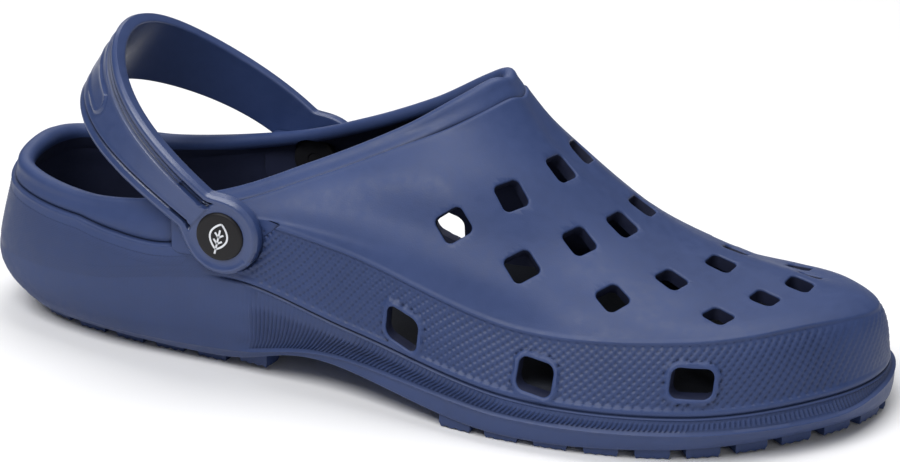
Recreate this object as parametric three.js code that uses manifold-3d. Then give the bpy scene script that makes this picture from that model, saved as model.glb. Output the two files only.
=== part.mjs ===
// A garden clog for the right foot, moulded in soft foam, with a swinging heel strap.
//
// The clog is drawn with its heel at x = 0 and its toe towards +X. The outer side of the foot (lateral)
// is towards -Y and the inner side (medial) towards +Y. At the end the whole group is moved so that its
// origin is the middle of the bottom of its bounding box, where it stands. Sizes are in mm.
import * as THREE from "three";
import { mergeVertices } from "three/addons/utils/BufferGeometryUtils.js";
import Module from "manifold-3d";

const wasm = await Module();
wasm.setup();

// ---------------------------------------------------------------------------------------------
// Driving dimensions
// ---------------------------------------------------------------------------------------------
const LENGTH = 297; // heel to toe, nominal
const WALL = 4.5; // thickness of the foam upper
const GAP = 0.3; // clearance between pieces that touch
const COLUMNS = 64; // facets once round the clog
const ROWS_PER_LEVEL = 2; // facets between two level curves
const PAST = 12; // how far a cutter runs past the surface it cuts

const PIVOT = { x: 97, z: 51 }; // axis of the strap's two rivets
const STRAP_MIDDLE_Y = -2.5; // plane of symmetry of the strap
const PAD_HALF_SPAN = 39.8; // from that plane to the flat pad that carries each strap end
const PAD = { back: 78, front: 108, low: 41, high: 57, radius: 3 };
const BOSS_DEPTH = 5.8; // thickness of the upper under each rivet
const BOSS_RADIUS = 9;
const SWING = { radius: 19, above: 0.5 }; // room for the strap's arm over each pad, from above the rivet

const STRAP = {
  angle: 140, // direction of the strap from the rivets, in degrees up from +X
  reach: 68.8, // from the rivets to the middle of the loop
  straight: 13.5, // length of each arm before it starts to curve
  thickness: 4.4,
  armWidth: 15.9,
  loopWidth: 26,
  droop: -5.5, // how far the end of the loop bends back
  bow: -2, // how far the arms bend back half way
  tilt: 0.15, // how far the end of the loop leans out at its front edge
  lobeRadius: 12.6,
  stations: 36,
};

const RIVET = {
  capRadius: 7.8,
  capThickness: 2.4,
  capSink: 1.8,
  postRadius: 3.9,
  backRadius: 7.5,
  backThickness: 2.4,
};

const INSOLE = { thickness: 4.5, sideGap: 2, lift: 0.5 };
const FOOTBED_INSET = 3; // fillet between the wall and the footbed
const FOOTBED_HEIGHTS = [21, 19, 19.5, 14, 12.5, 15]; // at even steps from heel to toe

const LUG = {
  height: 3.4,
  pitch: 15.4,
  length: 10.5,
  width: 7.5,
  embed: 2,
  insetAtBall: 4.9, // from the sole's edge to the middle of the lugs
  insetAtHeel: 7.2,
};
const TREAD_BOTTOM = 1.8; // the plane that the lugs stand on
const ARCH = { z: 7.6, x: 115 }; // the sole's edge is above z only under the arch; x is its middle

// Level curves of the outside, from the edge of the sole up to the rim of the opening. Each has nine
// stations from the back of the heel to the tip of the toe: [x, half width, z]. "lean" moves the front
// stations towards the inner side of the foot, and "drop" lowers the inner side at the ball of the foot.
const LEVELS = {
  soleEdge: {
    lean: 0,
    drop: 0,
    stations: [[8.8, 0, 6.7], [20, 21.3, 6.2], [51.8, 29.9, 5.1], [93.6, 33.5, 5.3], [128.7, 40.1, 12.5],
      [188.6, 55.5, 4], [242.8, 53.7, 5.1], [281, 28.8, 6.1], [295.7, 0, 5.7]],
  },
  soleSide: {
    lean: 0,
    drop: 0,
    stations: [[-0.2, 0, 18.9], [11.5, 24.3, 16.1], [47.9, 35.9, 13.4], [95.8, 37.5, 14.2],
      [135.4, 42.5, 18.2], [191.5, 56.8, 11.4], [245.6, 55.7, 10.8], [285.3, 30.5, 10.9], [296.2, 0, 10.2]],
  },
  groove: {
    lean: 0,
    drop: 0,
    stations: [[-0.3, 0, 27.5], [9.7, 24.9, 26.7], [46.1, 37.9, 28.3], [95.9, 40.4, 35.8],
      [140.9, 45.6, 26.8], [194.2, 56.1, 17.1], [246.5, 54.1, 16.8], [282.8, 30, 17.6], [294.9, 0, 16.7]],
  },
  shoulder: {
    lean: 0,
    drop: 7,
    stations: [[4.8, 0, 48.2], [13.6, 24, 46.1], [46.2, 35.9, 44.1], [96, 39.3, 54.8], [136, 41.6, 50.7],
      [192.3, 46.9, 35], [242.6, 46, 36.5], [274.1, 25.9, 37.9], [290.3, 0, 35.6]],
  },
  toeCap: {
    lean: 4,
    drop: 6,
    stations: [[6, 0, 50.8], [13.6, 23.9, 48.5], [46.2, 35.4, 46.8], [95, 38.3, 56.5], [134, 39.7, 56.2],
      [187.1, 43.8, 46.7], [231.7, 35.6, 43.3], [258.7, 14.4, 41.8], [268.4, 0, 41.3]],
  },
  vamp: {
    lean: 7,
    drop: 3,
    stations: [[7, 0, 53.3], [14, 23.4, 50.6], [46.2, 34.6, 49.3], [94, 36.7, 58], [130.9, 36.6, 62],
      [177, 38.7, 57.8], [206.2, 28, 54.7], [223.5, 11.2, 51.6], [228.3, 0, 50.2]],
  },
  instep: {
    lean: 7,
    drop: 0,
    stations: [[8.3, 0, 56.3], [14.7, 23, 53.3], [47.2, 33.9, 51.5], [91.9, 34.8, 59.4], [125.8, 30.8, 68.4],
      [161.9, 31.5, 73.8], [182.8, 21.6, 73.5], [190.8, 9.3, 73.2], [192.2, 0, 71.9]],
  },
  rim: {
    lean: 5,
    drop: 0,
    stations: [[11.4, 0, 59.7], [15.8, 22.7, 56.4], [48.9, 32.1, 53.7], [89.1, 30, 61], [118.4, 22.1, 72.3],
      [142.7, 16.1, 83.5], [160.6, 12.5, 94], [169.4, 7, 98.5], [172.2, 0, 97.7]],
  },
};
const LEAN_AT_STATION = [0, 0, 0, 0, 0, 0.33, 0.67, 1, 1];
const DROP_AT_STATION = [0, 0, 0, 0, 0.5, 1, 1, 0.5, 0];
const TOE_SWING = 14; // how far the tip of the toe turns to the inner side
const WAIST_SWING = 3; // how far the waist bows to the outer side

// Openings through the vamp, in four bowed rows of five from the instep to the toe: [x, y]. Each is a
// rounded square of the row's size, turned on its corner and further clockwise towards the outer side.
const HOLE_ROWS = [
  { size: 9.6, centres: [[169, -36], [183, -23], [192, -2], [193, 17], [188, 31]] },
  { size: 9.4, centres: [[191, -36], [204, -20], [212.5, -3], [214, 15], [209, 30]] },
  { size: 8.8, centres: [[218.5, -32.5], [232, -15.5], [242.4, 4], [243, 21.5], [236, 36]] },
  { size: 8.3, centres: [[249, -24.5], [259, -7], [266.5, 7.5], [267, 20.5], [261, 33]] },
];
const HOLE = { radius: 2, turn: 33, turnPerY: 0.5, turnMost: 40 };

// Openings through each side of the toe box: size, slope of the upper and lower edges, which follow the
// line of the sole, and place along the clog and height, [x, z], on each side. The rearmost one
// sits further back on the inner side.
const VENTS = [
  { width: 11, height: 10, slope: -0.4, lateral: [157.7, 31], medial: [141.5, 31] },
  { width: 11.5, height: 9.5, slope: -0.17, lateral: [200.8, 23.5], medial: [200.8, 23.5] },
  { width: 12.5, height: 9, slope: -0.05, lateral: [246.6, 26.2], medial: [246.6, 26.2] },
];
const VENT = { radius: 2.5, fromMiddle: 34, toMiddle: 74 };

// ---------------------------------------------------------------------------------------------
// Materials
// ---------------------------------------------------------------------------------------------
const foam = () => new THREE.MeshStandardMaterial({ color: 0x495a86, roughness: 0.6, metalness: 0 });
const liner = () => new THREE.MeshStandardMaterial({ color: 0x3c4150, roughness: 0.85, metalness: 0 });
const hardPlastic = () => new THREE.MeshStandardMaterial({ color: 0x2a2c38, roughness: 0.4, metalness: 0 });

// ---------------------------------------------------------------------------------------------
// Solids: closed meshes in, closed meshes out
// ---------------------------------------------------------------------------------------------
function toSolid(geometry) {
  const bare = geometry.clone();
  bare.deleteAttribute("normal");
  bare.deleteAttribute("uv");
  const merged = mergeVertices(bare, 1e-4);
  const vertProperties = new Float32Array(merged.attributes.position.array);
  const triVerts = new Uint32Array(merged.index.array);
  return new wasm.Manifold(new wasm.Mesh({ numProp: 3, vertProperties, triVerts }));
}

function toGeometry(solid) {
  const mesh = solid.getMesh();
  const geometry = new THREE.BufferGeometry();
  geometry.setAttribute("position", new THREE.BufferAttribute(new Float32Array(mesh.vertProperties), 3));
  geometry.setIndex(new THREE.BufferAttribute(new Uint32Array(mesh.triVerts), 1));
  return geometry;
}

// A closed solid from rings of points that run anticlockwise seen from above. The first ring is closed
// by a face looking down and the last by a face looking up, each from side to side.
function netSolid(rings) {
  const count = rings[0].length;
  const positions = rings.flat().flatMap((point) => [point.x, point.y, point.z]);
  const index = [];
  for (let row = 0; row < rings.length - 1; row += 1) {
    for (let column = 0; column < count; column += 1) {
      const a = row * count + column;
      const b = row * count + ((column + 1) % count);
      index.push(a, b, b + count, a, b + count, a + count);
    }
  }
  const last = (rings.length - 1) * count;
  for (let column = 0; column < count / 2; column += 1) {
    const here = column;
    const next = column + 1;
    const mirrorHere = (count - column) % count;
    const mirrorNext = count - column - 1;
    if (next !== mirrorNext) {
      index.push(next, here, mirrorNext);
      index.push(last + here, last + next, last + mirrorNext);
    }
    if (here !== mirrorHere) {
      index.push(mirrorNext, here, mirrorHere);
      index.push(last + here, last + mirrorNext, last + mirrorHere);
    }
  }
  const geometry = new THREE.BufferGeometry();
  geometry.setAttribute("position", new THREE.BufferAttribute(new Float32Array(positions), 3));
  geometry.setIndex(index);
  return toSolid(geometry);
}

function roundedRectangle(width, height, radius) {
  const w = width / 2;
  const h = height / 2;
  const shape = new THREE.Shape();
  shape.moveTo(w, h - radius);
  shape.absarc(w - radius, h - radius, radius, 0, Math.PI / 2);
  shape.absarc(radius - w, h - radius, radius, Math.PI / 2, Math.PI);
  shape.absarc(radius - w, radius - h, radius, Math.PI, 1.5 * Math.PI);
  shape.absarc(w - radius, radius - h, radius, 1.5 * Math.PI, 2 * Math.PI);
  return shape;
}

// A cylinder along Y between two heights y.
function pinSolid(radius, fromY, toY, segments = 36) {
  const length = Math.abs(toY - fromY);
  const geometry = new THREE.CylinderGeometry(radius, radius, length, segments);
  geometry.translate(PIVOT.x, (fromY + toY) / 2, PIVOT.z);
  return toSolid(geometry);
}

// ---------------------------------------------------------------------------------------------
// The outside surface
// ---------------------------------------------------------------------------------------------
function centreLine(x) {
  const t = THREE.MathUtils.clamp(x / LENGTH, 0, 1.05);
  const waist = Math.sin(Math.PI * Math.min(t / 0.8, 1));
  return TOE_SWING * t ** 4 - WAIST_SWING * waist ** 2;
}

function levelRing({ lean, drop, stations }) {
  const lateral = [];
  const medial = [];
  stations.forEach(([x, halfWidth, z], station) => {
    const middle = centreLine(x) + lean * LEAN_AT_STATION[station];
    lateral.push(new THREE.Vector3(x, middle - halfWidth, z));
    medial.push(new THREE.Vector3(x, middle + halfWidth, z - drop * DROP_AT_STATION[station]));
  });
  return [...lateral, ...medial.slice(1, -1).reverse()];
}

const levelCurves = Object.values(LEVELS).map(
  (level) => new THREE.CatmullRomCurve3(levelRing(level), true, "catmullrom", 0.5),
);
const levelNames = Object.keys(LEVELS);
const levelAt = (name) => levelNames.indexOf(name) / (levelNames.length - 1);

// A point on the outside: "around" runs 0 to 1 from the heel along the lateral side to the toe and
// back, and "up" runs 0 to 1 from the edge of the sole to the rim.
function outside(around, up) {
  const turn = ((around % 1) + 1) % 1;
  const profile = new THREE.CatmullRomCurve3(
    levelCurves.map((curve) => curve.getPoint(turn)), false, "catmullrom", 0.5,
  );
  return profile.getPoint(up);
}

function outwardNormal(around, up) {
  const step = 0.004;
  const along = outside(around + step, up).sub(outside(around - step, up));
  const rise = outside(around, Math.min(up + step, 1)).sub(outside(around, Math.max(up - step, 0)));
  return along.cross(rise).normalize();
}

function inside(around, up, depth = WALL) {
  return outside(around, up).addScaledVector(outwardNormal(around, up), -depth);
}

const arounds = Array.from({ length: COLUMNS }, (_, column) => column / COLUMNS);

function levelSteps(fromLevel, toLevel) {
  const first = levelNames.indexOf(fromLevel);
  const last = levelNames.indexOf(toLevel);
  const steps = (last - first) * ROWS_PER_LEVEL;
  return Array.from({ length: steps + 1 }, (_, step) => THREE.MathUtils.lerp(
    levelAt(fromLevel), levelAt(toLevel), step / steps));
}

// The surface point nearest to a place seen from above, on the upper.
function vampPoint(x, y) {
  const target = new THREE.Vector2(x, y);
  let best = { distance: Infinity };
  let span = { around: 0.25, up: 0.25, middleAround: 0.5, middleUp: 0.7 };
  for (let pass = 0; pass < 6; pass += 1) {
    for (let i = -6; i <= 6; i += 1) {
      for (let j = -6; j <= 6; j += 1) {
        const around = span.middleAround + (span.around * i) / 6;
        const up = Math.min(span.middleUp + (span.up * j) / 6, 1);
        const point = outside(around, up);
        const distance = target.distanceTo(new THREE.Vector2(point.x, point.y));
        if (distance < best.distance) {
          best = { distance, around, up, point };
        }
      }
    }
    span = { around: span.around / 3, up: span.up / 3, middleAround: best.around, middleUp: best.up };
  }
  return best;
}

// ---------------------------------------------------------------------------------------------
// The shell: sole, walls and vamp in one moulding
// ---------------------------------------------------------------------------------------------
const footbedCurve = new THREE.SplineCurve(
  FOOTBED_HEIGHTS.map((height, step, all) => new THREE.Vector2((step * LENGTH) / (all.length - 1), height)),
);
const footbedHeight = (x) => footbedCurve.getPoint(THREE.MathUtils.clamp(x / LENGTH, 0, 1)).y;

// The footbed's outline: the foot of the inner wall, moved in by "inset".
function footbedRing(inset, lift) {
  return arounds.map((around) => {
    const wall = inside(around, levelAt("groove"));
    const inward = outwardNormal(around, levelAt("groove")).setZ(0).normalize();
    const point = wall.addScaledVector(inward, -inset);
    point.z = footbedHeight(point.x) + lift;
    return point;
  });
}

function shellBody() {
  const outer = levelSteps("soleEdge", "rim").map((up) => arounds.map((around) => outside(around, up)));
  const inner = levelSteps("groove", "rim").map((up) => arounds.map((around) => inside(around, up)));
  return netSolid([...outer, ...inner.reverse(), footbedRing(FOOTBED_INSET, 0)]);
}

function prism(outline, depth) {
  return new THREE.ExtrudeGeometry(outline, { depth, bevelEnabled: false, curveSegments: 1 });
}

function vampHoles() {
  return HOLE_ROWS.flatMap(({ size, centres }) => centres.map(([x, y]) => {
    const { around, up, point } = vampPoint(x, y);
    const outward = outwardNormal(around, up);
    const corner = Math.min(HOLE.turn + HOLE.turnPerY * y, HOLE.turnMost);
    const cutter = prism(roundedRectangle(size, size, HOLE.radius), 2 * PAST);
    cutter.rotateZ(THREE.MathUtils.degToRad(45 + corner));
    cutter.translate(0, 0, -PAST);
    cutter.applyMatrix4(new THREE.Matrix4().lookAt(outward, new THREE.Vector3(), new THREE.Vector3(0, 1, 0)));
    cutter.translate(point.x, point.y, point.z);
    return toSolid(cutter);
  }));
}

function sideVents() {
  const depth = VENT.toMiddle - VENT.fromMiddle;
  return [-1, 1].flatMap((side) => VENTS.map(({ width, height, slope, lateral, medial }) => {
    const [x, z] = side < 0 ? lateral : medial;
    const cutter = prism(roundedRectangle(width, height, VENT.radius), depth);
    cutter.applyMatrix4(new THREE.Matrix4().makeShear(slope, 0, 0, 0, 0, 0));
    cutter.rotateX(Math.PI / 2);
    cutter.translate(x, centreLine(x) + (side < 0 ? -VENT.fromMiddle : VENT.toMiddle), z);
    return toSolid(cutter);
  }));
}

function padBlock(side) {
  const shape = roundedRectangle(PAD.front - PAD.back, PAD.high - PAD.low, PAD.radius);
  const block = prism(shape, BOSS_DEPTH);
  block.rotateX(Math.PI / 2);
  const face = STRAP_MIDDLE_Y + side * PAD_HALF_SPAN;
  block.translate((PAD.front + PAD.back) / 2, side < 0 ? face + BOSS_DEPTH : face, (PAD.high + PAD.low) / 2);
  return toSolid(block);
}

function lug(x, y, bottom, turn, length, width) {
  const box = new THREE.BoxGeometry(length, width, LUG.height + LUG.embed);
  box.rotateZ(turn);
  box.translate(x, y, bottom + (LUG.height + LUG.embed) / 2);
  return toSolid(box);
}

// A row of lugs follows the edge of the sole, except under the raised arch.
function edgeLugs() {
  const edge = levelCurves[0];
  const count = Math.floor(edge.getLength() / LUG.pitch);
  const lugs = [];
  for (let place = 0; place < count; place += 1) {
    const point = edge.getPointAt(place / count);
    const tangent = edge.getTangentAt(place / count);
    const inward = new THREE.Vector3(-tangent.y, tangent.x, 0).normalize();
    if (point.z < ARCH.z) {
      const bottom = Math.max(point.z - LUG.height, TREAD_BOTTOM);
      point.addScaledVector(inward, point.x < ARCH.x ? LUG.insetAtHeel : LUG.insetAtBall);
      lugs.push(lug(point.x, point.y, bottom, Math.atan2(tangent.y, tangent.x), LUG.length, LUG.width));
    }
  }
  return lugs;
}

// Bars across the middle of the tread, in pairs under the ball and single under the heel.
const TREAD_BARS = [
  ...[193, 209, 225, 241, 257].flatMap((x) => [-15, 15].map((y) => ({ x, y, length: 22 }))),
  ...[40, 56, 72].map((x) => ({ x, y: 0, length: 26 })),
];

function treadBars() {
  return TREAD_BARS.map(({ x, y, length }) => lug(x, centreLine(x) + y, TREAD_BOTTOM, 0, LUG.width, length));
}

function shell() {
  let body = shellBody();
  for (const side of [-1, 1]) {
    const face = STRAP_MIDDLE_Y + side * PAD_HALF_SPAN;
    const bossInside = face - side * BOSS_DEPTH;
    body = body.add(padBlock(side)).add(pinSolid(BOSS_RADIUS, face, bossInside));
    const armRoom = pinSolid(SWING.radius, face, face + side * PAST, 48);
    body = body.subtract(armRoom.trimByPlane([0, 0, 1], PIVOT.z + SWING.above));
    body = body.subtract(pinSolid(STRAP.lobeRadius + 2 * GAP, face, face + side * PAST, 48));
    body = body.subtract(pinSolid(RIVET.backRadius + 2 * GAP, bossInside, bossInside - side * PAST));
    body = body.subtract(pinSolid(RIVET.postRadius + GAP, face + side, bossInside - side));
  }
  for (const tread of [...edgeLugs(), ...treadBars()]) {
    body = body.add(tread);
  }
  for (const cutter of [...vampHoles(), ...sideVents()]) {
    body = body.subtract(cutter);
  }
  return body;
}

// ---------------------------------------------------------------------------------------------
// The loose insole that lies on the footbed
// ---------------------------------------------------------------------------------------------
function insole() {
  const inset = FOOTBED_INSET + INSOLE.sideGap;
  return netSolid([footbedRing(inset, INSOLE.lift), footbedRing(inset, INSOLE.lift + INSOLE.thickness)]);
}

// ---------------------------------------------------------------------------------------------
// The heel strap
// ---------------------------------------------------------------------------------------------
const strapAngle = THREE.MathUtils.degToRad(STRAP.angle);
const strapAlong = new THREE.Vector3(Math.cos(strapAngle), 0, Math.sin(strapAngle));
const strapFront = new THREE.Vector3(Math.sin(strapAngle), 0, -Math.cos(strapAngle));
const strapHalfSpan = PAD_HALF_SPAN + GAP + STRAP.thickness / 2;

// The strap's middle line in its own plane, x away from the rivets and y across the clog: two straight
// arms joined by half an ellipse.
const strapLine = new THREE.Path();
strapLine.moveTo(0, -strapHalfSpan);
strapLine.lineTo(STRAP.straight, -strapHalfSpan);
strapLine.absellipse(
  STRAP.straight, 0, STRAP.reach - STRAP.straight, strapHalfSpan, -Math.PI / 2, Math.PI / 2, false, 0,
);
strapLine.lineTo(0, strapHalfSpan);

function strapSection(t) {
  const here = strapLine.getPointAt(t);
  const tangent = strapLine.getTangentAt(t);
  const far = (here.x / STRAP.reach) ** 2;
  const halfWidth = THREE.MathUtils.lerp(STRAP.armWidth, STRAP.loopWidth, far) / 2;
  const halfThickness = STRAP.thickness / 2;
  const bevel = 1;
  const corners = [
    [halfThickness, halfWidth - bevel], [halfThickness - bevel, halfWidth],
    [bevel - halfThickness, halfWidth], [-halfThickness, halfWidth - bevel],
    [-halfThickness, bevel - halfWidth], [bevel - halfThickness, -halfWidth],
    [halfThickness - bevel, -halfWidth], [halfThickness, bevel - halfWidth],
  ];
  return corners.map(([thick, wide]) => {
    const along = here.x + tangent.y * thick + wide * STRAP.tilt * far;
    const front = wide + STRAP.droop * far + STRAP.bow * 4 * far * (1 - far);
    const point = new THREE.Vector3(PIVOT.x, STRAP_MIDDLE_Y + here.y - tangent.x * thick, PIVOT.z);
    return point.addScaledVector(strapAlong, along).addScaledVector(strapFront, front);
  });
}

function heelStrap() {
  const sections = Array.from(
    { length: STRAP.stations + 1 }, (_, station) => strapSection(station / STRAP.stations),
  );
  let strap = netSolid(sections);
  for (const side of [-1, 1]) {
    const innerFace = STRAP_MIDDLE_Y + side * (PAD_HALF_SPAN + GAP);
    const outerFace = innerFace + side * STRAP.thickness;
    strap = strap.add(pinSolid(STRAP.lobeRadius, innerFace, outerFace, 48));
    strap = strap.subtract(pinSolid(RIVET.postRadius + GAP, innerFace - side, outerFace + side));
    const capSeatFace = outerFace - side * RIVET.capSink;
    strap = strap.subtract(pinSolid(RIVET.capRadius + 2 * GAP, capSeatFace, outerFace + side * PAST));
  }
  return strap;
}

// ---------------------------------------------------------------------------------------------
// The rivets: a capped post from outside, snapped into a disc inside
// ---------------------------------------------------------------------------------------------
// Turns a profile of [radius, distance outwards] about the rivets' axis, on one side of the clog.
function turnedPiece(profile, side) {
  const points = profile.map(([radius, out]) => new THREE.Vector2(radius, out));
  const geometry = new THREE.LatheGeometry(points, 32);
  geometry.rotateX(side < 0 ? Math.PI : 0);
  geometry.translate(PIVOT.x, STRAP_MIDDLE_Y, PIVOT.z);
  return toSolid(geometry);
}

const capSeat = PAD_HALF_SPAN + GAP + STRAP.thickness - RIVET.capSink + GAP;
const postEnd = PAD_HALF_SPAN - BOSS_DEPTH - RIVET.backThickness / 2;

function rivetHead(side) {
  const { capRadius, capThickness, postRadius } = RIVET;
  const top = capSeat + capThickness;
  return turnedPiece([
    [0, postEnd], [postRadius - 0.5, postEnd], [postRadius, postEnd + 0.5], [postRadius, capSeat],
    [capRadius, capSeat], [capRadius, top - 1], [capRadius - 0.8, top - 0.3], [capRadius - 2.5, top],
    [0, top],
  ], side);
}

function rivetBack(side) {
  const { backRadius, backThickness, postRadius } = RIVET;
  const seat = PAD_HALF_SPAN - BOSS_DEPTH - GAP;
  const socket = postEnd - GAP;
  return turnedPiece([
    [0, seat - backThickness], [backRadius - 1, seat - backThickness], [backRadius, seat - backThickness + 1],
    [backRadius, seat], [postRadius + GAP, seat], [postRadius + GAP, socket], [0, socket],
  ], side);
}

// ---------------------------------------------------------------------------------------------
// The assembly
// ---------------------------------------------------------------------------------------------
const clog = new THREE.Group();

function addPiece(name, solid, material) {
  const mesh = new THREE.Mesh(toGeometry(solid), material);
  mesh.name = name;
  clog.add(mesh);
}

addPiece("clog_shell", shell(), foam());
addPiece("insole", insole(), liner());
addPiece("heel_strap", heelStrap(), foam());
addPiece("rivet_head_lateral", rivetHead(-1), hardPlastic());
addPiece("rivet_head_medial", rivetHead(1), hardPlastic());
addPiece("rivet_back_lateral", rivetBack(-1), hardPlastic());
addPiece("rivet_back_medial", rivetBack(1), hardPlastic());

const box = new THREE.Box3().setFromObject(clog);
const middle = box.getCenter(new THREE.Vector3());
clog.position.set(-middle.x, -middle.y, -box.min.z);
clog.updateMatrixWorld(true);

export default clog;
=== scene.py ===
import math

import bmesh
import bpy
import numpy as np
from mathutils import Matrix, Vector
from mathutils.bvhtree import BVHTree


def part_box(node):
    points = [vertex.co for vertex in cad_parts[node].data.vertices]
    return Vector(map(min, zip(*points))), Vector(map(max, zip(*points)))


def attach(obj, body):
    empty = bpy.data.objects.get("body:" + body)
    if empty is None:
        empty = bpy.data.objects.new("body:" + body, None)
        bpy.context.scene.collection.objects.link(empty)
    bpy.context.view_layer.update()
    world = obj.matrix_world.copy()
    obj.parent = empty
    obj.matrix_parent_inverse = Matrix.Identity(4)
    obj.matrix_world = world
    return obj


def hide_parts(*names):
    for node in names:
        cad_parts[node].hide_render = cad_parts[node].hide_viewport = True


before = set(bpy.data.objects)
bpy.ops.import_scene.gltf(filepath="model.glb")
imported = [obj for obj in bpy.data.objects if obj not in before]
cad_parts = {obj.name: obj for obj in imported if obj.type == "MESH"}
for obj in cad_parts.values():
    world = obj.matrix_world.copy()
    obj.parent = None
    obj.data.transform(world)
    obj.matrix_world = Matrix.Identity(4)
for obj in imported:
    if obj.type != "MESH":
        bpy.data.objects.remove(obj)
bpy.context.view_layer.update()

# A navy foam clog for the right foot. Shapes are worked out in millimetres in the clog's own frame,
# with the heel at x = 0, the toe towards +X, the outer side of the foot towards -Y and the ground at
# z = 0, and are moved to the part's frame in metres by place().

# ---- Dimensions, the same as the CAD part's ----
LENGTH = 297
WALL = 4.5
GAP = 0.3
PIVOT_X, PIVOT_Z = 97, 51
STRAP_MIDDLE_Y = -2.5
PAD_HALF_SPAN = 39.8
PAD_BACK, PAD_FRONT, PAD_LOW, PAD_HIGH = 78, 108, 41, 57
BOSS_DEPTH, BOSS_RADIUS = 5.8, 9
SWING_RADIUS, ROOM_ROUNDING, ROOM_REACH = 19, 0.6, 20
SWING_LOWEST = [(-19, 13.3, 19), (0.5, 0.5, 5.6)]  # the arm's lower edge as the strap swings
STRAP_ANGLE = math.radians(140)
STRAP_REACH, STRAP_STRAIGHT, STRAP_THICKNESS = 68.8, 13.5, 4.4
STRAP_ARM, STRAP_LOOP, STRAP_DROOP, STRAP_BOW, STRAP_TILT = 15.9, 26, -5.5, -2, 0.15
LOBE_RADIUS = 12.6
CAP_RADIUS, CAP_THICKNESS, CAP_SINK = 7.8, 2.4, 1.8
POST_RADIUS, BACK_RADIUS, BACK_THICKNESS = 3.9, 7.5, 2.4
INSOLE_THICKNESS, INSOLE_SIDE_GAP, INSOLE_LIFT = 4.5, 2, 0.5
FOOTBED_INSET = 3
FOOTBED_HEIGHTS = [21, 19, 19.5, 14, 12.5, 15]
TOE_SWING, WAIST_SWING = 14, 3
LUG_HEIGHT, LUG_PITCH, LUG_LENGTH, LUG_WIDTH, LUG_EMBED = 3.4, 15.4, 10.5, 7.5, 2
LUG_INSET_AT_BALL, LUG_INSET_AT_HEEL = 4.9, 7.2
TREAD_BOTTOM, ARCH_Z, ARCH_X = 1.8, 7.6, 115

# Level curves: lean, drop, then nine stations of x, half width and z.
LEVELS = [
    (0, 0, [(8.8, 0, 6.7), (20, 21.3, 6.2), (51.8, 29.9, 5.1), (93.6, 33.5, 5.3), (128.7, 40.1, 12.5),
            (188.6, 55.5, 4), (242.8, 53.7, 5.1), (281, 28.8, 6.1), (295.7, 0, 5.7)]),
    (0, 0, [(-0.2, 0, 18.9), (11.5, 24.3, 16.1), (47.9, 35.9, 13.4), (95.8, 37.5, 14.2), (135.4, 42.5, 18.2),
            (191.5, 56.8, 11.4), (245.6, 55.7, 10.8), (285.3, 30.5, 10.9), (296.2, 0, 10.2)]),
    (0, 0, [(-0.3, 0, 27.5), (9.7, 24.9, 26.7), (46.1, 37.9, 28.3), (95.9, 40.4, 35.8), (140.9, 45.6, 26.8),
            (194.2, 56.1, 17.1), (246.5, 54.1, 16.8), (282.8, 30, 17.6), (294.9, 0, 16.7)]),
    (0, 7, [(4.8, 0, 48.2), (13.6, 24, 46.1), (46.2, 35.9, 44.1), (96, 39.3, 54.8), (136, 41.6, 50.7),
            (192.3, 46.9, 35), (242.6, 46, 36.5), (274.1, 25.9, 37.9), (290.3, 0, 35.6)]),
    (4, 6, [(6, 0, 50.8), (13.6, 23.9, 48.5), (46.2, 35.4, 46.8), (95, 38.3, 56.5), (134, 39.7, 56.2),
            (187.1, 43.8, 46.7), (231.7, 35.6, 43.3), (258.7, 14.4, 41.8), (268.4, 0, 41.3)]),
    (7, 3, [(7, 0, 53.3), (14, 23.4, 50.6), (46.2, 34.6, 49.3), (94, 36.7, 58), (130.9, 36.6, 62),
            (177, 38.7, 57.8), (206.2, 28, 54.7), (223.5, 11.2, 51.6), (228.3, 0, 50.2)]),
    (7, 0, [(8.3, 0, 56.3), (14.7, 23, 53.3), (47.2, 33.9, 51.5), (91.9, 34.8, 59.4), (125.8, 30.8, 68.4),
            (161.9, 31.5, 73.8), (182.8, 21.6, 73.5), (190.8, 9.3, 73.2), (192.2, 0, 71.9)]),
    (5, 0, [(11.4, 0, 59.7), (15.8, 22.7, 56.4), (48.9, 32.1, 53.7), (89.1, 30, 61), (118.4, 22.1, 72.3),
            (142.7, 16.1, 83.5), (160.6, 12.5, 94), (169.4, 7, 98.5), (172.2, 0, 97.7)]),
]
LEAN_AT_STATION = [0, 0, 0, 0, 0, 0.33, 0.67, 1, 1]
DROP_AT_STATION = [0, 0, 0, 0, 0.5, 1, 1, 0.5, 0]
TOP_LEVEL = len(LEVELS) - 1
STEEPEST = 2.2  # slope of a profile at a level, in lengths of the shorter span beside it
GROOVE_LEVEL, SHOULDER_LEVEL = 2, 3

# Each row of vamp openings: size, then the centres from the outer side to the inner side.
HOLE_ROWS = [
    (9.6, [(169, -36), (183, -23), (192, -2), (193, 17), (188, 31)]),
    (9.4, [(191, -36), (204, -20), (212.5, -3), (214, 15), (209, 30)]),
    (8.8, [(218.5, -32.5), (232, -15.5), (242.4, 4), (243, 21.5), (236, 36)]),
    (8.3, [(249, -24.5), (259, -7), (266.5, 7.5), (267, 20.5), (261, 33)]),
]
HOLE_RADIUS, HOLE_TURN, HOLE_TURN_PER_Y, HOLE_TURN_MOST = 2, 33, 0.5, 40
# Side openings by side: x, z, width, height and slope of the upper and lower edges.
VENTS = {
    -1: [(157.7, 31, 11, 10, -0.4), (200.8, 23.5, 11.5, 9.5, -0.17), (246.6, 26.2, 12.5, 9, -0.05)],
    1: [(141.5, 31, 11, 10, -0.4), (200.8, 23.5, 11.5, 9.5, -0.17), (246.6, 26.2, 12.5, 9, -0.05)],
}
VENT_RADIUS = 2.5
TREAD_BARS = [(x, y, 22) for x in (193, 209, 225, 241, 257) for y in (-15, 15)]
TREAD_BARS += [(x, 0, 26) for x in (40, 56, 72)]

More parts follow.
